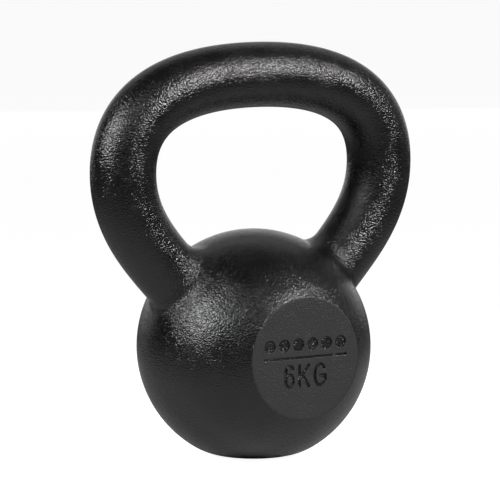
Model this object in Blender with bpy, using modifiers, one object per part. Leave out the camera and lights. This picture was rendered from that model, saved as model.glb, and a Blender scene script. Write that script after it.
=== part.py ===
"""Six kilogram kettlebell: a solid ball and a bent round bar, joined by a weld at the root of each horn.

Metres, +Z up, origin on the floor under the ball. The handle lies in the XZ plane, and the marked
flat faces -Y. The front and the back of the ball carry a flat each. Each end of the bar is coped to
the ball, so that it stands on it like a saddle, and a hollow root weld runs round the joint.
"""

import math

import bmesh
import bpy
from mathutils import Matrix, Vector

# --- Ball -------------------------------------------------------------------------------------
BALL_RADIUS = 0.0540
BASE_CUT = 0.0037  # how much of the ball's bottom the base takes off
BASE_RIM_RADIUS = 0.0300  # rounding between the ball's flank and the base
FLAT_CUT = 0.0077  # how much of the ball each flat takes off
FLAT_EDGE_WIDTH = 0.0016  # width of the rounding along the edge of each flat

# --- Handle -----------------------------------------------------------------------------------
OVERALL_HEIGHT = 0.1903
HANDLE_WIDTH = 0.1657  # over the outside of both horns
GRIP_DIAMETER = 0.0299
SHOULDER_DROP = 0.0423  # from the middle of the grip down to where the handle is widest
GRIP_FULLNESS = 0.535  # how far the grip runs out level, as a part of the half width
SHOULDER_FULLNESS = 0.78  # how far the shoulder stays upright above its widest point
HORN_FULLNESS = 0.49  # how far the horn stays upright below the widest point
ROOT_FULLNESS = 0.295  # how far the bar's end runs straight

# --- Joint of horn and ball -------------------------------------------------------------------
# The bar is bent with its ends long. Its middle line ends inside the ball's outline, at a depth
# under the surface, an angle from upright as seen from the ball's centre, and a lean from upright.
BAR_END_DEPTH = 0.0177
BAR_END_ANGLE = math.radians(59.0)
BAR_END_LEAN = math.radians(24.0)
ROOT_GAP = 0.0003  # between horn and ball, and under each weld
WELD_RADIUS_INNER = 0.0120  # hollow of the root weld, towards the hand opening
WELD_RADIUS_OUTER = 0.0050  # and away from it
WELD_STOCK = 0.0020  # how far a weld's blank reaches into its neighbours before it is cut to them

# --- Marks on the front flat ------------------------------------------------------------------
MARK_DEPTH = 0.0008
MARKS_RISE = 0.0005  # of the rule over the middle of the flat
WEIGHT_KG = 6
FIGURE_HEIGHT = 0.0108
RULE_LENGTH = 0.0426
RULE_WIDTH = 0.0009
MARK_GAP = 0.0026  # between the rule and what is above and below it
DOT_DIAMETER = 0.0056
DOT_PITCH = 0.0074

# --- Fineness of the solids -------------------------------------------------------------------
BALL_STEPS = 64
BALL_ARC_STEPS = 26
RIM_ARC_STEPS = 4
GRIP_BEVEL_RESOLUTION = 12  # gives a bar of 28 sides
BOW_STEPS = 12  # stations on each quarter of the handle
WELD_STEPS = 40
WELD_ARC_STEPS = 5
DOT_SIDES = 16
CUTTER_MARGIN = 0.010

# --- Derived places ---------------------------------------------------------------------------
GRIP_RADIUS = GRIP_DIAMETER / 2
BALL_CENTRE = Vector((0.0, 0.0, BALL_RADIUS - BASE_CUT))
FLAT_DISTANCE = BALL_RADIUS - FLAT_CUT
GRIP_HEIGHT = OVERALL_HEIGHT - GRIP_RADIUS
HALF_WIDTH = HANDLE_WIDTH / 2 - GRIP_RADIUS
SHOULDER_HEIGHT = GRIP_HEIGHT - SHOULDER_DROP

COATED_IRON = {"colour": (0.012, 0.012, 0.013, 1.0), "roughness": 0.34, "metallic": 0.0}


def clear_scene():
    """Empties the scene of objects and of every collection."""
    for obj in list(bpy.data.objects):
        bpy.data.objects.remove(obj, do_unlink=True)
    for collection in list(bpy.data.collections):
        bpy.data.collections.remove(collection)


def new_collection(name, hidden):
    collection = bpy.data.collections.new(name)
    collection.hide_render = hidden
    bpy.context.scene.collection.children.link(collection)
    return collection


def coat(name):
    """Black baked enamel over iron."""
    material = bpy.data.materials.new(name)
    material.use_nodes = True
    shader = material.node_tree.nodes["Principled BSDF"]
    shader.inputs["Base Color"].default_value = COATED_IRON["colour"]
    shader.inputs["Roughness"].default_value = COATED_IRON["roughness"]
    shader.inputs["Metallic"].default_value = COATED_IRON["metallic"]
    material.diffuse_color = COATED_IRON["colour"]
    return material


def finish_part(obj, material_name):
    """Puts a piece in the kettlebell's collection, with its own material and smooth round faces."""
    parts.objects.link(obj)
    obj.data.materials.clear()
    obj.data.materials.append(coat(material_name))
    smooth(obj)
    return obj


def finish_cutter(obj):
    cutters.objects.link(obj)
    obj.hide_render = True
    obj.display_type = "WIRE"
    return obj


def smooth(obj):
    if obj.type == "MESH":
        obj.data.shade_smooth()
        obj.data.set_sharp_from_angle(angle=math.radians(25.0))


def object_from_bmesh(name, shape):
    mesh = bpy.data.meshes.new(name)
    shape.to_mesh(mesh)
    shape.free()
    return bpy.data.objects.new(name, mesh)


def cut(obj, cutter, name, operation="DIFFERENCE"):
    boolean = obj.modifiers.new(name, "BOOLEAN")
    boolean.operation = operation
    boolean.solver = "EXACT"
    boolean.object = cutter
    return boolean


# --- The handle's centreline --------------------------------------------------------------------


def bow_points():
    """Knots of the right half of the bow, from the grip's middle to the bar's end, with their arms."""
    outward = Vector((math.sin(BAR_END_ANGLE), 0.0, math.cos(BAR_END_ANGLE)))
    end = BALL_CENTRE + (BALL_RADIUS - BAR_END_DEPTH) * outward
    horn_drop = SHOULDER_HEIGHT - end.z
    lean = Vector((math.sin(BAR_END_LEAN), 0.0, math.cos(BAR_END_LEAN)))
    apex = Vector((0.0, 0.0, GRIP_HEIGHT))
    shoulder = Vector((HALF_WIDTH, 0.0, SHOULDER_HEIGHT))
    up = Vector((0.0, 0.0, 1.0))
    grip_arm = Vector((GRIP_FULLNESS * HALF_WIDTH, 0.0, 0.0))
    return [
        (apex - grip_arm, apex, apex + grip_arm),
        (
            shoulder + SHOULDER_FULLNESS * SHOULDER_DROP * up,
            shoulder,
            shoulder - HORN_FULLNESS * horn_drop * up,
        ),
        (
            end + ROOT_FULLNESS * horn_drop * lean,
            end,
            end - ROOT_FULLNESS * horn_drop * lean,
        ),
    ]


def mirrored(point):
    return Vector((-point.x, point.y, point.z))


def full_bow():
    """Knots of the whole bow, from the left end of the bar to the right end."""
    right = bow_points()
    left = [tuple(mirrored(p) for p in reversed(knot)) for knot in reversed(right[1:])]
    return left + right


def horn_curve(t):
    """Point and direction on the right horn, at t = 0 in the bar's end and t = 1 at the shoulder."""
    _, shoulder, shoulder_arm = bow_points()[1]
    end_arm, end, _ = bow_points()[2]
    p = (end, end_arm, shoulder_arm, shoulder)
    s = 1.0 - t
    point = s**3 * p[0] + 3 * s * s * t * p[1] + 3 * s * t * t * p[2] + t**3 * p[3]
    slope = 3 * s * s * (p[1] - p[0]) + 6 * s * t * (p[2] - p[1]) + 3 * t * t * (p[3] - p[2])
    return point, slope.normalized()


def bar(name, knots, radius):
    """Round bar along a smooth curve through the knots, as a welded mesh with flat ends."""
    curve = bpy.data.curves.new(name, "CURVE")
    curve.dimensions = "3D"
    curve.bevel_depth = radius
    curve.bevel_resolution = GRIP_BEVEL_RESOLUTION
    curve.use_fill_caps = True
    curve.resolution_u = BOW_STEPS
    spline = curve.splines.new("BEZIER")
    spline.bezier_points.add(len(knots) - 1)
    for target, (before, knot, after) in zip(spline.bezier_points, knots):
        target.handle_left_type = "FREE"
        target.handle_right_type = "FREE"
        target.co = knot
        target.handle_left = before
        target.handle_right = after
    guide = bpy.data.objects.new(name + "_guide", curve)
    bpy.context.scene.collection.objects.link(guide)
    bpy.context.view_layer.update()
    graph = bpy.context.evaluated_depsgraph_get()
    mesh = bpy.data.meshes.new_from_object(guide.evaluated_get(graph))
    shape = bmesh.new()
    shape.from_mesh(mesh)
    bmesh.ops.remove_doubles(shape, verts=shape.verts, dist=1e-6)
    bmesh.ops.recalc_face_normals(shape, faces=shape.faces)
    shape.to_mesh(mesh)
    shape.free()
    obj = bpy.data.objects.new(name, mesh)
    bpy.data.objects.remove(guide, do_unlink=True)
    return obj


# --- The ball -----------------------------------------------------------------------------------


def ball_profile(radius, centre_height, rim_radius):
    """Right-hand outline of the ball, from its top down its flank and round the rim to the base."""
    rim_x = math.sqrt((radius - rim_radius) ** 2 - (centre_height - rim_radius) ** 2)
    meet = math.atan2(rim_x, centre_height - rim_radius)
    outline = []
    for i in range(BALL_ARC_STEPS + 1):
        angle = (math.pi - meet) * i / BALL_ARC_STEPS
        outline.append((radius * math.sin(angle), centre_height + radius * math.cos(angle)))
    for i in range(1, RIM_ARC_STEPS + 1):
        angle = meet * (1.0 - i / RIM_ARC_STEPS)
        outline.append((rim_x + rim_radius * math.sin(angle), rim_radius * (1.0 - math.cos(angle))))
    outline.append((0.0, 0.0))
    return outline


def turned(name, outline):
    """Solid of revolution about Z, whose outline runs down its outer side from axis to axis."""
    mesh = bpy.data.meshes.new(name)
    mesh.from_pydata([(x, 0.0, z) for x, z in outline], [(i, i + 1) for i in range(len(outline) - 1)], [])
    obj = bpy.data.objects.new(name, mesh)
    screw = obj.modifiers.new("turn", "SCREW")
    screw.axis = "Z"
    screw.steps = BALL_STEPS
    screw.render_steps = BALL_STEPS
    screw.use_merge_vertices = True
    screw.merge_threshold = 1e-6
    screw.use_smooth_shade = True
    return obj


def flat_cutter(name, side):
    """Block whose near face lies in one flat of the ball. side is -1 for the front, +1 for the back."""
    reach = BALL_RADIUS + CUTTER_MARGIN
    depth = FLAT_CUT + CUTTER_MARGIN
    shape = bmesh.new()
    bmesh.ops.create_cube(shape, size=1.0)
    bmesh.ops.scale(shape, vec=(2 * reach, depth, 2 * reach), verts=shape.verts)
    middle = BALL_CENTRE + Vector((0.0, side * (FLAT_DISTANCE + depth / 2), 0.0))
    bmesh.ops.translate(shape, vec=middle, verts=shape.verts)
    return finish_cutter(object_from_bmesh(name, shape))


# --- Marks on the front flat ----------------------------------------------------------------------


def mark_box(name, width, height, middle_z):
    shape = bmesh.new()
    bmesh.ops.create_cube(shape, size=1.0)
    bmesh.ops.scale(shape, vec=(width, 2 * MARK_DEPTH, height), verts=shape.verts)
    bmesh.ops.translate(shape, vec=(0.0, -FLAT_DISTANCE, middle_z), verts=shape.verts)
    return finish_cutter(object_from_bmesh(name, shape))


def mark_dot(name, x, z):
    """Flat-bottomed round recess."""
    shape = bmesh.new()
    bmesh.ops.create_cone(
        shape,
        cap_ends=True,
        segments=DOT_SIDES,
        radius1=DOT_DIAMETER / 2,
        radius2=DOT_DIAMETER / 2,
        depth=2 * MARK_DEPTH,
        matrix=Matrix.Translation((x, -FLAT_DISTANCE, z)) @ Matrix.Rotation(math.pi / 2, 4, "X"),
    )
    return finish_cutter(object_from_bmesh(name, shape))


def mark_figures(name, text, height, top_z):
    """Weight in plain figures, as a solid that stands half in front of the flat."""
    font_curve = bpy.data.curves.new(name, "FONT")
    font_curve.body = text
    font_curve.align_x = "CENTER"
    font_curve.resolution_u = 3
    font_curve.extrude = MARK_DEPTH
    guide = bpy.data.objects.new(name + "_guide", font_curve)
    bpy.context.scene.collection.objects.link(guide)
    bpy.context.view_layer.update()
    graph = bpy.context.evaluated_depsgraph_get()
    mesh = bpy.data.meshes.new_from_object(guide.evaluated_get(graph))
    bpy.data.objects.remove(guide, do_unlink=True)
    shape = bmesh.new()
    shape.from_mesh(mesh)
    bmesh.ops.remove_doubles(shape, verts=shape.verts, dist=1e-6)
    low = min(v.co.y for v in shape.verts)
    high = max(v.co.y for v in shape.verts)
    size = height / (high - low)
    bmesh.ops.translate(shape, vec=(0.0, -high, 0.0), verts=shape.verts)
    bmesh.ops.scale(shape, vec=(size, size, 1.0), verts=shape.verts)
    bmesh.ops.rotate(shape, matrix=Matrix.Rotation(math.pi / 2, 3, "X"), verts=shape.verts)
    bmesh.ops.translate(shape, vec=(0.0, -FLAT_DISTANCE, top_z), verts=shape.verts)
    bmesh.ops.recalc_face_normals(shape, faces=shape.faces)
    mesh.materials.clear()
    shape.to_mesh(mesh)
    shape.free()
    return finish_cutter(bpy.data.objects.new(name, mesh))


def mark_cutters():
    """Rule across the middle of the flat, a dot for each kilogram above it, and the weight below it."""
    rule_z = BALL_CENTRE.z + MARKS_RISE
    dots_z = rule_z + RULE_WIDTH / 2 + MARK_GAP + DOT_DIAMETER / 2
    figures_z = rule_z - RULE_WIDTH / 2 - MARK_GAP
    made = [mark_box("rule_mark", RULE_LENGTH, RULE_WIDTH, rule_z)]
    for i in range(WEIGHT_KG):
        x = (i - (WEIGHT_KG - 1) / 2) * DOT_PITCH
        made.append(mark_dot(f"dot_mark_{i + 1}", x, dots_z))
    made.append(mark_figures("weight_mark", f"{WEIGHT_KG}KG", FIGURE_HEIGHT, figures_z))
    return made


# --- Root welds -----------------------------------------------------------------------------------


def weld_radius(around):
    """Hollow radius at an angle round the horn, 0 away from the hand opening and pi towards it."""
    towards = (1.0 - math.cos(around)) / 2
    return WELD_RADIUS_OUTER + (WELD_RADIUS_INNER - WELD_RADIUS_OUTER) * towards


def weld_section(around):
    """Section of the right weld's blank at one angle round the horn.

    A circle of the hollow's radius rolls in the corner between horn and ball: its centre is that
    radius outside both surfaces. The section runs along the circle from the horn to the ball, and
    back through a point inside the ball, one inside both and one inside the horn.
    """
    hollow = weld_radius(around)
    side = Vector((0.0, 1.0, 0.0))
    low, high = 0.0, 1.0
    for _ in range(40):
        middle = (low + high) / 2
        point, direction = horn_curve(middle)
        outward = direction.cross(side).normalized() * -1.0
        spoke = math.cos(around) * outward + math.sin(around) * side
        centre = point + (GRIP_RADIUS + hollow) * spoke
        if (centre - BALL_CENTRE).length < BALL_RADIUS + hollow:
            low = middle
        else:
            high = middle
    to_horn = -spoke
    to_ball = (BALL_CENTRE - centre).normalized()
    sweep = to_horn.angle(to_ball)
    section = []
    for i in range(WELD_ARC_STEPS + 1):
        share = i / WELD_ARC_STEPS
        spoke_on_arc = (math.sin((1 - share) * sweep) * to_horn + math.sin(share * sweep) * to_ball)
        section.append(centre + hollow * spoke_on_arc / math.sin(sweep))
    deep = hollow + WELD_STOCK
    corner = (to_horn + to_ball) / (1.0 + math.cos(sweep))
    section += [centre + deep * to_ball, centre + deep * corner, centre + deep * to_horn]
    return section


def weld_blank(name, mirror):
    """Ring lofted through the weld sections, all the way round one horn."""
    shape = bmesh.new()
    rings = []
    for i in range(WELD_STEPS):
        section = weld_section(2 * math.pi * i / WELD_STEPS)
        if mirror:
            section = [mirrored(p) for p in section]
        rings.append([shape.verts.new(p) for p in section])
    count = len(rings[0])
    for i, ring in enumerate(rings):
        following = rings[(i + 1) % WELD_STEPS]
        for j in range(count):
            k = (j + 1) % count
            shape.faces.new((ring[j], ring[k], following[k], following[j]))
    bmesh.ops.recalc_face_normals(shape, faces=shape.faces)
    return object_from_bmesh(name, shape)


# --- Assembly -------------------------------------------------------------------------------------

clear_scene()
parts = new_collection("kettlebell", hidden=False)
cutters = new_collection("cutters", hidden=True)

ball_outline = ball_profile(BALL_RADIUS, BALL_CENTRE.z, BASE_RIM_RADIUS)
ball = finish_part(turned("ball", ball_outline), "ball_coat")
for flat_name, flat_side in (("front_flat", -1), ("back_flat", 1)):
    cut(ball, flat_cutter(flat_name, flat_side), flat_name)
edge = ball.modifiers.new("flat_edges", "BEVEL")
edge.width = FLAT_EDGE_WIDTH
edge.segments = 2
edge.limit_method = "ANGLE"
edge.angle_limit = math.radians(20.0)
for mark in mark_cutters():
    cut(ball, mark, mark.name)

clearance_outline = ball_profile(BALL_RADIUS + ROOT_GAP, BALL_CENTRE.z, BASE_RIM_RADIUS)
ball_clearance = finish_cutter(turned("ball_clearance", clearance_outline))
horn_clearance = finish_cutter(bar("horn_clearance", full_bow(), GRIP_RADIUS + ROOT_GAP))

handle = finish_part(bar("handle", full_bow(), GRIP_RADIUS), "handle_coat")
cut(handle, ball_clearance, "coped_ends")

for weld_name, weld_mirror in (("weld_left", True), ("weld_right", False)):
    weld = finish_part(weld_blank(weld_name, weld_mirror), weld_name + "_coat")
    cut(weld, ball_clearance, "clear_of_ball")
    cut(weld, horn_clearance, "clear_of_horn")

bpy.context.view_layer.update()
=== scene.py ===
# %% [markdown]
# # A six kilogram kettlebell
#
# A kettlebell is a ball of iron with a bow handle, under a thick coat of black enamel. It has no
# moving part and no pattern: all that the eye has to go on is the run of its curves and the way
# the coat breaks up the light. So this lesson is about two things, surfaces that flow into each
# other without a step, and one finish that reads as baked enamel on iron.
#
# It is shown here as a ball, a bent bar and the welds that join them. Many such weights are cast in
# one piece instead. The outside looks the same, and the welds are then just a hollow in the casting.
#
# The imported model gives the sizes. Every piece here stands for one of its solids.

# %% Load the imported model
import math

import bpy
import numpy as np
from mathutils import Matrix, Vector


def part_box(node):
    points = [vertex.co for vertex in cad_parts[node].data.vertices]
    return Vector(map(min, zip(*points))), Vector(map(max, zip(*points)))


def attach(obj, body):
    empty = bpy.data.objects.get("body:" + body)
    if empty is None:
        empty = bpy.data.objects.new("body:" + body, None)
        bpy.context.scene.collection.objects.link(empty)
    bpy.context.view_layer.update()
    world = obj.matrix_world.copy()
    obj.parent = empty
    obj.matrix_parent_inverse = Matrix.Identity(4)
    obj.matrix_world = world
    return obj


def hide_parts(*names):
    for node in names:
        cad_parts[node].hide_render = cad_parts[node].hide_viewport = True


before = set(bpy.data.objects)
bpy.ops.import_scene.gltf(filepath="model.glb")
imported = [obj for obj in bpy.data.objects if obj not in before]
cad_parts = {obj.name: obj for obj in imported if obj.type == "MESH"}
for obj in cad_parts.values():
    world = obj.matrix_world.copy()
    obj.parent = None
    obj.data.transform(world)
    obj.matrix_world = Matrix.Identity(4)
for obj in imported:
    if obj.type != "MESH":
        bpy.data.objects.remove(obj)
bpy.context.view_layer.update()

# %% [markdown]
# ## Sizes that the solids already hold
#
# The ball's box gives its radius, the height of its centre and the distance of its two flats. The
# handle's box gives the bar's radius and the height of the grip. Reading them here means that the
# skins can't drift away from the solids under them.

# %% Read the ball and the bar
MM = 0.001
ball_low, ball_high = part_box("ball")
bow_low, bow_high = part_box("handle")
ball_radius = (ball_high.x - ball_low.x) / 2
ball_centre = np.array([0.0, 0.0, ball_high.z - ball_radius])
flat_distance = ball_high.y
grip_radius = bow_high.y
grip_height = bow_high.z - grip_radius
half_width = bow_high.x - grip_radius
for label, half in (("ball", ball_radius), ("grip", grip_radius), ("across the flats", flat_distance)):
    print(f"{label}: {2 * half / MM:.1f} mm")

# %% [markdown]
# ## From a grid of points to a mesh
#
# Each surface below is a formula of two parameters, worked out for a whole grid at once. One
# helper turns such a grid into a mesh. Its rows are rings that close on themselves. At each end
# the rows either shrink to a point, which makes a closed skin, or the last row joins the first,
# which makes a ring like a tyre. A skin that is inside out still renders much the same, so its
# volume is printed too: it is negative if the faces point inwards.

# %% Build a mesh from rings of points
sharp_angle = math.radians(38)


def ring_faces(rows, columns, joined):
    """Quads between each ring and the next. joined adds the quads from the last ring to the first."""
    steps = rows if joined else rows - 1
    row, column = np.meshgrid(np.arange(steps), np.arange(columns), indexing="ij")
    next_row = (row + 1) % rows
    next_column = (column + 1) % columns
    here, there = row * columns, next_row * columns
    corners = (here + column, there + column, there + next_column, here + next_column)
    return np.stack(corners, -1).reshape(-1, 4)


def add_piece(name, points, faces):
    """A smooth-shaded object from points and a list of faces, with its place in its mesh."""
    mesh = bpy.data.meshes.new(name)
    mesh.from_pydata(points.reshape(-1, 3).tolist(), [], faces)
    mesh.validate()
    mesh.shade_smooth()
    mesh.set_sharp_from_angle(angle=sharp_angle)
    piece = bpy.data.objects.new(name, mesh)
    bpy.context.scene.collection.objects.link(piece)
    triangles = sum(len(polygon.vertices) - 2 for polygon in mesh.polygons)
    print(f"{name}: {len(mesh.vertices)} points, {triangles} triangles")
    return piece


def skin(name, rings, first=None, last=None):
    """Closed surface through rings, an array of rows x columns x 3.

    first and last are the points that the two ends close on. Without them the last ring joins the
    first. Whether its faces point outwards depends on which way the rings run.
    """
    rows, columns = rings.shape[:2]
    faces = ring_faces(rows, columns, first is None).tolist()
    points = rings.reshape(-1, 3)
    if first is not None:
        around = np.arange(columns)
        after = (around + 1) % columns
        start, end = rows * columns, rows * columns + 1
        base = (rows - 1) * columns
        points = np.vstack([points, first, last])
        faces += np.stack([around, after, np.full(columns, start)], -1).tolist()
        faces += np.stack([base + after, base + around, np.full(columns, end)], -1).tolist()
    return add_piece(name, points, faces)


def signed_volume(piece):
    """Volume inside a closed mesh, negative if its faces point inwards.

    It is the sum of the tetrahedra that the triangles make with the origin, each a sixth of a
    triple product.
    """
    mesh = piece.data
    mesh.calc_loop_triangles()
    corners = np.empty(len(mesh.loop_triangles) * 3, np.int32)
    mesh.loop_triangles.foreach_get("vertices", corners)
    places = np.empty(len(mesh.vertices) * 3)
    mesh.vertices.foreach_get("co", places)
    a, b, c = places.reshape(-1, 3)[corners.reshape(-1, 3)].transpose(1, 0, 2)
    return float(np.einsum("ij,ij->i", a, np.cross(b, c)).sum() / 6)


def tell_volume(piece):
    """Prints the signed volume of a piece."""
    print(f"{piece.name} holds {signed_volume(piece) * 1e6:.2f} cubic centimetres")


# %% [markdown]
# ## The ball
#
# The ball could be a sphere with pieces cut away, but cuts leave hard edges that the coated iron
# doesn't have. Seen from its own centre, though, the ball is simple: in every direction its surface
# lies at one distance. That distance is the smallest of three: to the turned outline, which is a
# sphere, a wide rim arc and the base, to the front flat and to the back flat. A soft minimum takes
# the smaller of two distances and rounds the place where they are equal, which is the soft edge.

# %% Distance from the ball's centre to its surface
base_rim_radius = 30.0 * MM
flat_edge_softness = 0.4 * MM


def soft_minimum(a, b, width):
    """The smaller of a and b, less a parabola that rounds the corner where they differ by under width."""
    near = np.clip(width - np.abs(a - b), 0, None)
    return np.minimum(a, b) - near**2 / (4 * width)


least_cosine = 0.2  # keeps a plane's distance finite where another surface is nearer anyway


def outline_reach(from_down):
    """Distance to the turned outline, at an angle from straight down.

    Down to the base it is the height over the cosine. Along the rim arc it solves the ray against
    the arc's circle. Further up it is the sphere's radius.
    """
    height = ball_centre[2]
    rim_x = math.sqrt((ball_radius - base_rim_radius) ** 2 - (height - base_rim_radius) ** 2)
    rim_drop = height - base_rim_radius
    cosine = np.cos(from_down)
    along = np.sin(from_down) * rim_x + cosine * rim_drop
    on_rim = along + np.sqrt(np.clip(along**2 - rim_x**2 - rim_drop**2 + base_rim_radius**2, 0, None))
    on_base = height / np.maximum(cosine, least_cosine)
    reach = np.where(from_down < math.atan2(rim_x, rim_drop), on_rim, ball_radius)
    return np.where(from_down < math.atan2(rim_x, height), on_base, reach)


def ball_reach(direction):
    """Distance from the ball's centre to its surface, along unit vectors.

    It is the soft minimum of two distances: the turned outline's, and the flat's, which is how far
    out the flat lies over the vector's part along Y.
    """
    turned = outline_reach(np.arccos(np.clip(-direction[..., 2], -1, 1)))
    to_flat = flat_distance / np.maximum(np.abs(direction[..., 1]), least_cosine)
    return soft_minimum(turned, to_flat, flat_edge_softness)


# %% [markdown]
# The grid's poles are the middles of the two flats, because there the surface is plane and a pole
# can't be seen. Its rings crowd together where the flats' edges turn, and are wide apart elsewhere.
# The middle of the front flat is left to a plate of its own, with a much finer grid for the marks,
# so the skin has a shallow pocket there.

# %% Grid of the ball
plate_radius = 25.0 * MM
plate_depth = 1.5 * MM
edge_angle = math.acos(flat_distance / ball_radius)
pocket_angle = math.atan(plate_radius / flat_distance)
edge_band = math.radians(3.2)
last_ring = math.radians(1.0)
ball_columns = 340


def ring_angles():
    """Angles from the front pole at which the rings lie, crowded across the edges of both flats."""
    stretches = (
        (pocket_angle, edge_angle - edge_band, 3),
        (edge_angle - edge_band, edge_angle + edge_band, 36),
        (edge_angle + edge_band, math.pi - edge_angle - edge_band, 150),
        (math.pi - edge_angle - edge_band, math.pi - edge_angle + edge_band, 36),
        (math.pi - edge_angle + edge_band, math.pi - last_ring, 20),
    )
    parts = [np.linspace(start, end, count, endpoint=False) for start, end, count in stretches]
    return np.concatenate(parts + [[stretches[-1][1]]])


def ball_grid(columns):
    """Rings round the Y axis, from the edge of the front pocket to the back pole.

    Each point lies along a unit vector from the ball's centre, at the distance that ball_reach gives.
    """
    angle = ring_angles()[:, None]
    turn = np.linspace(0, 2 * math.pi, columns, endpoint=False)[None, :]
    sideways, upwards = np.sin(angle) * np.cos(turn), np.sin(angle) * np.sin(turn)
    direction = np.stack([sideways, np.broadcast_to(-np.cos(angle), sideways.shape), upwards], -1)
    rings = ball_centre + ball_reach(direction)[..., None] * direction
    pocket = rings[:1] + np.array([0.0, plate_depth, 0.0])
    return np.concatenate([pocket, rings])


rings = ball_grid(ball_columns)
pocket_middle = ball_centre + np.array([0.0, plate_depth - flat_distance, 0.0])
back_middle = ball_centre + np.array([0.0, flat_distance, 0.0])
ball_skin = skin("ball_skin", rings, pocket_middle, back_middle)
tell_volume(ball_skin)

# %% [markdown]
# ## The marks
#
# The front flat carries a row of dots, one for each kilogram, a rule, and the weight. They are
# sunk into the iron, so their walls slope and their edges are soft under the coat. Each mark
# is a stroke: a point of the plate is pressed in by how near it lies to the nearest stroke's middle
# line. That is a height over a flat grid, and needs no cutting.

# %% Strokes of the marks, in millimetres on the flat, x to the right and z up
kilograms = 6
marks_rise = 0.5
rule_half_length = 21.3
rule_width = 0.9
dot_diameter = 5.6
dot_pitch = 7.4
mark_gap = 2.6
figure_height = 10.8
figure_stroke = 1.3
figure_gap = 1.9
six_width, k_width, g_width = 5.2, 6.2, 6.8


def arc(centre, radii, start, end, count=18):
    """Points along an ellipse between two angles in degrees, 0 to the right and 90 up."""
    angle = np.radians(np.linspace(start, end, count))
    return np.stack([centre[0] + radii[0] * np.cos(angle), centre[1] + radii[1] * np.sin(angle)], -1)


def figure_six(width, height):
    """A closed bowl, and a back that rises from its left side and bends over to the right."""
    bowl, top, half = height * 0.30, height * 0.24, width / 2
    back = np.vstack([[(0, bowl)], arc((half, height - top), (half, top), 180, 28)])
    return [arc((half, bowl), (half, bowl), 0, 360, 32), back]


def letter_k(width, height):
    """An upright and two slanting strokes that meet near it."""
    waist = (width * 0.28, height * 0.58)
    chains = [[(0, 0), (0, height)], [(0, height * 0.34), (width, height)], [waist, (width, 0)]]
    return [np.array(chain) for chain in chains]


def letter_g(width, height):
    """An open bowl whose lower end turns up into a short bar."""
    half = width / 2
    bowl = arc((half, height / 2), (half, height / 2), 42, 325, 36)
    bar = [(width, height * 0.22), (width, height * 0.46), (width * 0.56, height * 0.46)]
    return [np.vstack([bowl, bar])]


def weight_strokes():
    """The weight below the rule, centred on the flat. Widths and heights are over the stroke's outside."""
    height = figure_height - figure_stroke
    foot = -rule_width / 2 - mark_gap - figure_height + figure_stroke / 2
    left = -(six_width + k_width + g_width + 2 * figure_gap) / 2 + figure_stroke / 2
    strokes = []
    for make, width in ((figure_six, six_width), (letter_k, k_width), (letter_g, g_width)):
        strokes += [stroke + np.array([left, foot]) for stroke in make(width - figure_stroke, height)]
        left += width + figure_gap
    return strokes


def distance_to_stroke(x, z, stroke):
    """Least distance from each point of the grid to a chain of straight pieces."""
    nearest = np.full(x.shape, np.inf)
    for (ax, az), (bx, bz) in zip(stroke[:-1], stroke[1:]):
        dx, dz = bx - ax, bz - az
        share = np.clip(((x - ax) * dx + (z - az) * dz) / (dx * dx + dz * dz), 0, 1)
        nearest = np.minimum(nearest, np.hypot(x - ax - share * dx, z - az - share * dz))
    return nearest


# %% [markdown]
# A disc can be gridded without a pole by squeezing a square into it: each point of the square moves
# in by a root of how far out its other coordinate is. The grid stays even in the middle, where the
# marks are, and its rim is a true circle that fills the pocket.

# %% Press the marks into the plate
mark_depth = 0.8
mark_wall = 0.35
plate_overlap = 0.2 * MM
plate_rise = 0.004 * MM
plate_count = 306


def pressed(outside):
    """Depth at a distance outside a mark's outline: none, then a smooth wall, then the floor."""
    share = np.clip(0.5 - outside / mark_wall, 0, 1)
    return mark_depth * share * share * (3 - 2 * share)


def mark_depths(x, z):
    """Depth of the marks at each point, in millimetres."""
    rule = np.array([(-rule_half_length, 0.0), (rule_half_length, 0.0)])
    depth = pressed(distance_to_stroke(x, z, rule) - rule_width / 2)
    dots_z = rule_width / 2 + mark_gap + dot_diameter / 2
    for i in range(kilograms):
        dot_x = (i - (kilograms - 1) / 2) * dot_pitch
        depth = np.maximum(depth, pressed(np.hypot(x - dot_x, z - dots_z) - dot_diameter / 2))
    for stroke in weight_strokes():
        depth = np.maximum(depth, pressed(distance_to_stroke(x, z, stroke) - figure_stroke / 2))
    return depth


def plate_points(count):
    """Square grid squeezed into a disc, with the marks pressed in.

    Each coordinate is multiplied by the root of one less half the other's square.
    """
    side = np.linspace(-1, 1, count)
    u, v = np.meshgrid(side, side, indexing="ij")
    radius = plate_radius + plate_overlap
    x = radius * u * np.sqrt(1 - v * v / 2)
    z = radius * v * np.sqrt(1 - u * u / 2)
    depth = mark_depths(x / MM, z / MM - marks_rise) * MM
    return np.stack([x, depth - flat_distance - plate_rise, z + ball_centre[2]], -1)


def plate_piece(name, count):
    """Closed plate: the marked face, a wall round it and a fan behind."""
    face = plate_points(count)
    index = np.arange(count * count).reshape(count, count)
    quads = np.stack([index[:-1, :-1], index[1:, :-1], index[1:, 1:], index[:-1, 1:]], -1).reshape(-1, 4)
    rim = np.concatenate([index[:-1, 0], index[-1, :-1], index[:0:-1, -1], index[0, :0:-1]])
    back = face.reshape(-1, 3)[rim] + np.array([0.0, plate_depth + plate_rise, 0.0])
    middle = back.mean(0)
    behind = count * count + np.arange(len(rim))
    after = np.roll(np.arange(len(rim)), -1)
    wall = np.stack([rim, behind, behind[after], rim[after]], -1)
    fan = np.stack([behind, np.full(len(rim), count * count + len(rim)), behind[after]], -1)
    points = np.vstack([face.reshape(-1, 3), back, middle])
    return add_piece(name, points, quads.tolist() + wall.tolist() + fan.tolist())


marked_plate = plate_piece("marked_flat", plate_count)
tell_volume(marked_plate)

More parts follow.
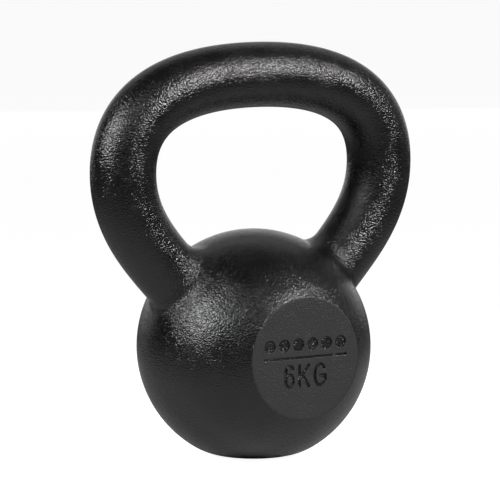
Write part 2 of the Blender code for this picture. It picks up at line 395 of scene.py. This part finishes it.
# %% [markdown]
# ## The handle
#
# The handle is one round bar bent to a bow. Its middle line is a chain of four smooth curves in one
# plane, mirrored about the middle of the grip. A circle carried along that line gives the skin. The
# bar ends on the ball, so each line along it stops a little under the ball's surface: where it does
# is found for all the lines at once, by halving an interval.

# %% The bar's middle line
shoulder_drop = 42.3 * MM
grip_fullness = 0.535
shoulder_fullness = 0.78
horn_fullness = 0.49
root_fullness = 0.295
bar_end_depth = 17.7 * MM
bar_end_angle = math.radians(59.0)
bar_end_lean = math.radians(24.0)
halvings = 40


def bow_knots():
    """Four by four control points (x, z) of the bow, from the left end over the grip to the right."""
    shoulder_z = grip_height - shoulder_drop
    end_way = np.array([math.sin(bar_end_angle), math.cos(bar_end_angle)])
    end = ball_centre[[0, 2]] + (ball_radius - bar_end_depth) * end_way
    fall = shoulder_z - end[1]
    grip = [(0, grip_height), (grip_fullness * half_width, grip_height)]
    shoulder = [(half_width, shoulder_z + shoulder_fullness * shoulder_drop), (half_width, shoulder_z)]
    lean = np.array([math.sin(bar_end_lean), math.cos(bar_end_lean)])
    horn = [(half_width, shoulder_z), (half_width, shoulder_z - horn_fullness * fall)]
    right = np.array([grip + shoulder, horn + [tuple(end + root_fullness * fall * lean), tuple(end)]], float)
    left = right[::-1, ::-1] * np.array([-1.0, 1.0])
    return np.concatenate([left, right])


knots = bow_knots()


def bow_line(u):
    """Point and in-plane outward normal of the middle line at u, from 0 to 4.

    Each whole step of u is one cubic Bezier curve, and the normal is its slope turned a quarter.
    """
    piece = np.clip(np.floor(u).astype(int), 0, 3)
    t = (u - piece)[..., None]
    s = 1 - t
    a, b, c, d = (knots[piece, i] for i in range(4))
    flat = s**3 * a + 3 * s * s * t * b + 3 * s * t * t * c + t**3 * d
    slope = s * s * (b - a) + 2 * s * t * (c - b) + t * t * (d - c)
    slope = slope / np.linalg.norm(slope, axis=-1, keepdims=True)
    zero = np.zeros(u.shape)
    point = np.stack([flat[..., 0], zero, flat[..., 1]], -1)
    outward = np.stack([-slope[..., 1], zero, slope[..., 0]], -1)
    return point, outward


def bar_surface(u, around, radius):
    """Point on a bar of that radius round the middle line, at an angle from its outer side.

    The spoke is the cosine of the angle along the outward normal and its sine along Y.
    """
    point, outward = bow_line(u)
    side = np.array([0.0, 1.0, 0.0])
    spoke = np.cos(around)[..., None] * outward + np.sin(around)[..., None] * side
    return point + np.asarray(radius)[..., None] * spoke, spoke


def where_it_meets(around, radius, reach):
    """u on the left horn at which a line along the bar is that far from the ball's centre."""
    low = np.zeros(around.shape)
    high = np.ones(around.shape)
    for _ in range(halvings):
        middle = (low + high) / 2
        place, _ = bar_surface(middle, around, radius)
        inside = np.linalg.norm(place - ball_centre, axis=-1) < reach
        low = np.where(inside, middle, low)
        high = np.where(inside, high, middle)
    return (low + high) / 2


# %% Carry a circle along the bow
bar_columns = 152
bar_rings = 560
bar_sink = 1.0 * MM


def even_steps(count):
    """Values of u from 0 to 4 at even distances along the bow."""
    fine = np.linspace(0, 4, 4001)
    line, _ = bow_line(fine)
    run = np.concatenate([[0], np.cumsum(np.linalg.norm(np.diff(line, axis=0), axis=1))])
    return np.interp(np.linspace(0, run[-1], count), run, fine), run[-1]


def handle_grid():
    """Rings round the bow, each line along it spread between the two places where it meets the ball."""
    around = np.linspace(0, 2 * math.pi, bar_columns, endpoint=False)
    start = where_it_meets(around, np.full(bar_columns, grip_radius), ball_radius - bar_sink)
    along, _ = even_steps(bar_rings)
    u = start + along[:, None] * (1 - start / 2)
    points, _ = bar_surface(u, np.broadcast_to(around, u.shape), np.full(u.shape, grip_radius))
    return points


bar_grid = handle_grid()
handle_skin = skin("handle_skin", bar_grid, bar_grid[0].mean(0), bar_grid[-1].mean(0))
tell_volume(handle_skin)
print(f"bow is {even_steps(2)[1] / MM:.0f} mm along its middle")

# %% [markdown]
# ## The root welds
#
# Where a horn stands on the ball, the corner is a hollow. It is made as weld, ground hollow. A ball
# bearing rolled round that corner describes it: its centre keeps its own radius from both surfaces,
# and the hollow is the part of the bearing between the two places where it touches. There it shares
# the slope of what it touches, so hardly an edge shows. The bearing is larger on the side of the hand
# opening and smaller outside. Inside, the weld dips under both skins, so that no gap shows.

# %% Roll a bearing round each root
weld_radius_inner = 12.0 * MM
weld_radius_outer = 5.0 * MM
weld_sink = 0.8 * MM
weld_columns = 260
weld_steps = 44


def weld_grid():
    """Sections of the left weld, one for each angle round the horn.

    The hollow swings evenly from where the bearing touches the horn to where it touches the ball.
    Three more points close the section behind it.
    """
    around = np.linspace(0, 2 * math.pi, weld_columns, endpoint=False)
    hollow = weld_radius_outer + (weld_radius_inner - weld_radius_outer) * (1 - np.cos(around)) / 2
    u = where_it_meets(around, grip_radius + hollow, ball_radius + hollow)
    centre, spoke = bar_surface(u, around, grip_radius + hollow)
    to_horn = -spoke
    to_ball = ball_centre - centre
    to_ball = to_ball / np.linalg.norm(to_ball, axis=-1, keepdims=True)
    sweep = np.arccos(np.einsum("ij,ij->i", to_horn, to_ball))[:, None, None]
    share = np.linspace(0, 1, weld_steps)[None, :, None]
    swung = np.sin((1 - share) * sweep) * to_horn[:, None] + np.sin(share * sweep) * to_ball[:, None]
    hollow = hollow[:, None]
    face = centre[:, None] + hollow[:, None] * swung / np.sin(sweep)
    corner = (to_horn + to_ball) / (1 + np.cos(sweep[:, 0]))
    deep = hollow + weld_sink
    under = np.stack([centre + deep * to_ball, centre + deep * corner, centre + deep * to_horn], 1)
    return np.concatenate([face, under], 1)


left_weld_grid = weld_grid()
right_weld_grid = left_weld_grid[::-1] * np.array([-1.0, 1.0, 1.0])
weld_left_skin = skin("weld_left_skin", left_weld_grid)
weld_right_skin = skin("weld_right_skin", right_weld_grid)
for piece in (weld_left_skin, weld_right_skin):
    tell_volume(piece)

# %% [markdown]
# ## The enamel
#
# The coat is a thick black baked enamel. It is as black as paint gets, so nearly all the light that
# leaves it is a reflection off its skin, which is why its roughness and its grain matter more than
# its colour. As it cures it draws up into small soft pebbles under a millimetre across, called
# orange peel. The pebbles are too fine to model, so a height texture tips the surface instead.
#
# Two textures make the pebbles: a noise for their uneven size, and a wider noise that makes some
# areas smoother than others. Where both are high the black is slightly worn, lighter and browner.
# All skins read the same object coordinates, so the grain runs on from the ball over the weld to the
# horn. The group is built once and each material sets its own values.

# %% Shader group for orange peel
pebble_detail = 1.5
pebble_softness = 0.45
patches_per_metre = 90.0
patch_detail = 2.0
least_grain = 0.6
grain_swing = 0.8
matt_swing = 0.12
wear_from = 0.42
wear_to = 0.72


def group_socket(tree, name, kind, into, value=None):
    """A socket into or out of a node group, with its value if it has one."""
    socket = tree.interface.new_socket(name=name, in_out="INPUT" if into else "OUTPUT", socket_type=kind)
    if value is not None:
        socket.default_value = value


def node(tree, kind, **settings):
    """Adds a node. Settings are its attributes, and a dictionary called inputs sets its sockets."""
    made = tree.nodes.new(kind)
    inputs = settings.pop("inputs", {})
    for key, value in settings.items():
        setattr(made, key, value)
    for key, value in inputs.items():
        made.inputs[key].default_value = value
    return made


def math_node(tree, operation, *values):
    """A Math node whose values are sockets or numbers."""
    made = node(tree, "ShaderNodeMath", operation=operation)
    for socket, value in zip(made.inputs, values):
        if isinstance(value, (int, float)):
            socket.default_value = value
        else:
            tree.links.new(value, socket)
    return made.outputs[0]


def orange_peel_group():
    """Height of the grain, and how matt and how worn each place is."""
    tree = bpy.data.node_groups.new("orange peel", "ShaderNodeTree")
    group_socket(tree, "Pebbles per metre", "NodeSocketFloat", True, 2000.0)
    group_socket(tree, "Grain", "NodeSocketFloat", True, 1.0)
    group_socket(tree, "Roughness", "NodeSocketFloat", True, 0.3)
    group_socket(tree, "Height", "NodeSocketFloat", False)
    group_socket(tree, "Roughness", "NodeSocketFloat", False)
    group_socket(tree, "Wear", "NodeSocketFloat", False)
    entry = node(tree, "NodeGroupInput")
    leave = node(tree, "NodeGroupOutput")
    place = node(tree, "ShaderNodeTexCoord").outputs["Object"]
    fine = {"Detail": pebble_detail, "Roughness": pebble_softness}
    wide = {"Scale": patches_per_metre, "Detail": patch_detail}
    pebbles = node(tree, "ShaderNodeTexNoise", inputs=fine)
    patches = node(tree, "ShaderNodeTexNoise", inputs=wide)
    for texture in (pebbles, patches):
        tree.links.new(place, texture.inputs["Vector"])
    tree.links.new(entry.outputs["Pebbles per metre"], pebbles.inputs["Scale"])
    pebble, patch = pebbles.outputs["Fac"], patches.outputs["Fac"]
    swing = math_node(tree, "MULTIPLY_ADD", patch, grain_swing, least_grain)
    grain = math_node(tree, "MULTIPLY", entry.outputs["Grain"], swing)
    tree.links.new(math_node(tree, "MULTIPLY", pebble, grain), leave.inputs["Height"])
    least_matt = math_node(tree, "ADD", entry.outputs["Roughness"], -matt_swing / 2)
    matt = math_node(tree, "MULTIPLY_ADD", patch, matt_swing, least_matt)
    tree.links.new(matt, leave.inputs["Roughness"])
    both = math_node(tree, "MULTIPLY_ADD", patch, 0.5, math_node(tree, "MULTIPLY", pebble, 0.5))
    worn = node(tree, "ShaderNodeMapRange", interpolation_type="SMOOTHSTEP")
    worn.inputs["From Min"].default_value = wear_from
    worn.inputs["From Max"].default_value = wear_to
    tree.links.new(both, worn.inputs["Value"])
    tree.links.new(worn.outputs["Result"], leave.inputs["Wear"])
    return tree


orange_peel = orange_peel_group()

# %% Mask of the flats, where a lighter grey is painted as an even sheen
mask_starts_under = 0.25 * MM
mask_full_under = 0.03 * MM


def add_flat_mask(tree):
    """1 on the two flats and 0 elsewhere, from how far a place lies in front of or behind the middle.

    A mark's floor lies deeper than the flat, so it stays out of the mask, keeps the black coat and reads
    darker than the painted grey round it: a painted shade in the recesses.
    """
    place = node(tree, "ShaderNodeTexCoord").outputs["Object"]
    split = node(tree, "ShaderNodeSeparateXYZ")
    tree.links.new(place, split.inputs[0])
    reach = math_node(tree, "ABSOLUTE", split.outputs["Y"])
    mask = node(tree, "ShaderNodeMapRange", interpolation_type="SMOOTHSTEP")
    mask.inputs["From Min"].default_value = flat_distance - mask_starts_under
    mask.inputs["From Max"].default_value = flat_distance - mask_full_under
    tree.links.new(reach, mask.inputs["Value"])
    return mask.outputs["Result"]


def blend(tree, mask, first, second):
    """first where the mask is 0, second where it is 1. Both are sockets or numbers."""
    made = node(tree, "ShaderNodeMix", data_type="FLOAT")
    tree.links.new(mask, made.inputs["Factor"])
    for socket, value in ((made.inputs["A"], first), (made.inputs["B"], second)):
        if isinstance(value, (int, float)):
            socket.default_value = value
        else:
            tree.links.new(value, socket)
    return made.outputs["Result"]


# %% The coat of each piece
coat_black = (0.0038, 0.0038, 0.0040, 1.0)
coat_worn = (0.0080, 0.0077, 0.0073, 1.0)
# painted reflection: a lighter grey on the flats that stands in for the even sheen of a flat face
flat_painted_sheen_grey = (0.0125, 0.0125, 0.0130, 1.0)
flat_roughness = 0.42
flat_grain = 0.6
bump_depth = 0.35 * MM
pebbles_per_metre = 1400.0
enamel_ior = 1.5
colour_a, colour_b, colour_out = 6, 7, 2  # places of the colour sockets on a Mix node


def mix_colours(tree, mask, first, second):
    """Colour socket that is first where the mask is 0 and second where it is 1."""
    made = node(tree, "ShaderNodeMix", data_type="RGBA")
    tree.links.new(mask, made.inputs["Factor"])
    for place, value in ((colour_a, first), (colour_b, second)):
        if isinstance(value, tuple):
            made.inputs[place].default_value = value
        else:
            tree.links.new(value, made.inputs[place])
    return made.outputs[colour_out]


def enamel(name, grain, roughness, matt_flats_with_painted_sheen=False):
    """Black enamel whose grain and wear come from the group.

    On the flats it is duller and smoother, and a lighter grey is painted there as an even sheen, a painted
    reflection. The marks' floors keep the black.
    """
    material = bpy.data.materials.new(name)
    material.use_nodes = True
    tree = material.node_tree
    shader = tree.nodes["Principled BSDF"]
    shader.inputs["IOR"].default_value = enamel_ior
    peel = node(tree, "ShaderNodeGroup", node_tree=orange_peel)
    peel.inputs["Pebbles per metre"].default_value = pebbles_per_metre
    peel.inputs["Grain"].default_value = grain
    peel.inputs["Roughness"].default_value = roughness
    height, matt = peel.outputs["Height"], peel.outputs["Roughness"]
    colour = mix_colours(tree, peel.outputs["Wear"], coat_black, coat_worn)
    if matt_flats_with_painted_sheen:
        flats = add_flat_mask(tree)
        height = math_node(tree, "MULTIPLY", height, blend(tree, flats, 1.0, flat_grain))
        matt = blend(tree, flats, matt, flat_roughness)
        # the flats take the painted sheen grey; the marks, outside the mask, keep the black and read as
        # painted shade
        colour = mix_colours(tree, flats, colour, flat_painted_sheen_grey)
    tree.links.new(colour, shader.inputs["Base Color"])
    bump = node(tree, "ShaderNodeBump", inputs={"Strength": 1.0, "Distance": bump_depth})
    tree.links.new(height, bump.inputs["Height"])
    tree.links.new(bump.outputs["Normal"], shader.inputs["Normal"])
    tree.links.new(matt, shader.inputs["Roughness"])
    return material


# the ball's flats get the painted sheen grey
ball_enamel = enamel("ball_enamel", 1.0, 0.17, matt_flats_with_painted_sheen=True)
handle_enamel = enamel("handle_enamel", 1.0, 0.17)
weld_enamel = enamel("weld_enamel", 1.4, 0.22)

# %% Give each skin its enamel, hang it under the root and hide the solid it stands for
for piece, material, node_name, slot in (
    (ball_skin, ball_enamel, "ball", "ball_coat"),
    (marked_plate, ball_enamel, "ball", "ball_coat"),
    (handle_skin, handle_enamel, "handle", "handle_coat"),
    (weld_left_skin, weld_enamel, "weld_left", "weld_coat"),
    (weld_right_skin, weld_enamel, "weld_right", "weld_coat"),
):
    piece.data.materials.append(material)
    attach(piece, "root")
    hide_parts(node_name)

# %% [markdown]
# ## Floor, light and camera
#
# A black coat shows only what stands round it, so the studio is what draws it. Two small hot boxes,
# one in front to the right and one to the left, make the bright streaks. Wider, weaker boxes fill in
# round them. The paper's colour is pale close by and darker further off, a painted shade that gives
# the coat's upright sides something dark to reflect. To the camera alone, paper and sky are plain white.

# %% Floor
floor_size = 30.0
floor_drop = 0.2 * MM
paper_near = 0.06
paper_far = 0.55
paper_near_tone = 0.48
# painted shade: the paper's colour further off, darker than close by, for dark reflections in the coat
paper_far_painted_shade = 0.08
paper_glow = 0.95


def floor_material():
    """Paper whose colour darkens with distance, a painted shade. To the camera it also glows, so that it
    reads as white.
    """
    material = bpy.data.materials.new("white_paper")
    material.use_nodes = True
    tree = material.node_tree
    shader = tree.nodes["Principled BSDF"]
    shader.inputs["Roughness"].default_value = 0.9
    place = node(tree, "ShaderNodeTexCoord").outputs["Object"]
    away = node(tree, "ShaderNodeVectorMath", operation="LENGTH")
    # this fade paints shade onto the paper further off
    painted_shade_fade = node(tree, "ShaderNodeMapRange", interpolation_type="SMOOTHSTEP")
    painted_shade_fade.inputs["From Min"].default_value = paper_near
    painted_shade_fade.inputs["From Max"].default_value = paper_far
    painted_shade_fade.inputs["To Min"].default_value = paper_near_tone
    painted_shade_fade.inputs["To Max"].default_value = paper_far_painted_shade
    tree.links.new(place, away.inputs[0])
    tree.links.new(away.outputs["Value"], painted_shade_fade.inputs["Value"])
    tree.links.new(painted_shade_fade.outputs["Result"], shader.inputs["Base Color"])
    shader.inputs["Specular IOR Level"].default_value = 0.0
    shader.inputs["Emission Strength"].default_value = paper_glow
    path = node(tree, "ShaderNodeLightPath")
    tree.links.new(path.outputs["Is Camera Ray"], shader.inputs["Emission Color"])
    return material


bpy.ops.mesh.primitive_plane_add(size=floor_size, location=(0.0, 0.0, -floor_drop))
floor = bpy.context.object
floor.name = "floor"
floor.data.materials.append(floor_material())

# %% Soft boxes and sky
lit_point = Vector((0.0, 0.0, 0.1))


def softbox(name, azimuth, elevation, distance, width, height, radiance):
    """A rectangular light aimed just under the top of the ball.

    Azimuth 0 is in front of the marked flat, and it grows to the right. Sizes are in metres. A box
    that sends out that radiance has pi times its area times as many watts.
    """
    a, e = math.radians(azimuth), math.radians(elevation)
    back = Vector((math.sin(a) * math.cos(e), -math.cos(a) * math.cos(e), math.sin(e)))
    light = bpy.data.lights.new(name, "AREA")
    light.shape = "RECTANGLE"
    light.size = width
    light.size_y = height
    light.energy = math.pi * width * height * radiance
    box = bpy.data.objects.new(name, light)
    box.location = back * distance + lit_point
    box.rotation_mode = "QUATERNION"
    box.rotation_quaternion = back.to_track_quat("Z", "Y")
    box.visible_camera = False
    bpy.context.scene.collection.objects.link(box)


softbox("front_heart", 30, 28, 1.3, 0.36, 0.28, 52.0)
softbox("front_box", 16, 28, 1.35, 0.80, 0.40, 3.5)
softbox("left_heart", -93, 27, 1.2, 0.30, 0.26, 37.0)
softbox("left_box", -90, 28, 1.25, 0.60, 0.50, 3.5)
softbox("front_left_box", -52, 36, 1.2, 0.50, 0.45, 3.2)
softbox("overhead_box", 30, 53, 1.25, 0.90, 0.45, 1.0)
softbox("right_box", 78, 20, 1.3, 0.50, 0.80, 0.6)
softbox("backdrop_low", 155, 6, 2.0, 3.6, 0.60, 0.9)
softbox("backdrop_high", 152, 34, 2.0, 3.0, 1.10, 0.5)


def white_to_the_camera():
    """World that is white where it is looked at and nearly black as a light."""
    world = bpy.data.worlds.new("studio")
    bpy.context.scene.world = world
    world.use_nodes = True
    tree = world.node_tree
    path = node(tree, "ShaderNodeLightPath")
    strength = node(tree, "ShaderNodeMapRange", inputs={"To Min": 0.02, "To Max": 1.0})
    tree.links.new(path.outputs["Is Camera Ray"], strength.inputs["Value"])
    background = tree.nodes["Background"]
    background.inputs["Color"].default_value = (1.0, 1.0, 1.0, 1.0)
    tree.links.new(strength.outputs["Result"], background.inputs["Strength"])


white_to_the_camera()

# %% Camera, at its angles round and above the ball's centre
camera_azimuth = math.radians(-30.42)
camera_elevation = math.radians(8.42)
camera_distance = 1.586
camera_lens = 247.5
aim_above_ball = 43.97 * MM
aim_beside_ball = -1.64 * MM

back = Vector((
    math.sin(camera_azimuth) * math.cos(camera_elevation),
    -math.cos(camera_azimuth) * math.cos(camera_elevation),
    math.sin(camera_elevation),
))
across = Vector((math.cos(camera_azimuth), math.sin(camera_azimuth), 0.0))
upward = back.cross(across)
camera = bpy.data.objects.new("camera", bpy.data.cameras.new("camera"))
camera.data.lens = camera_lens
camera.data.sensor_width = 36.0
camera.data.clip_start = 0.05
camera.data.clip_end = 60.0
camera.location = Vector(ball_centre) + camera_distance * back
aim = Vector(ball_centre) + aim_above_ball * upward + aim_beside_ball * across
camera.rotation_mode = "QUATERNION"
camera.rotation_quaternion = (aim - camera.location).to_track_quat("-Z", "Y")
bpy.context.scene.collection.objects.link(camera)
bpy.context.scene.camera = camera
bpy.context.scene.view_settings.view_transform = "Standard"
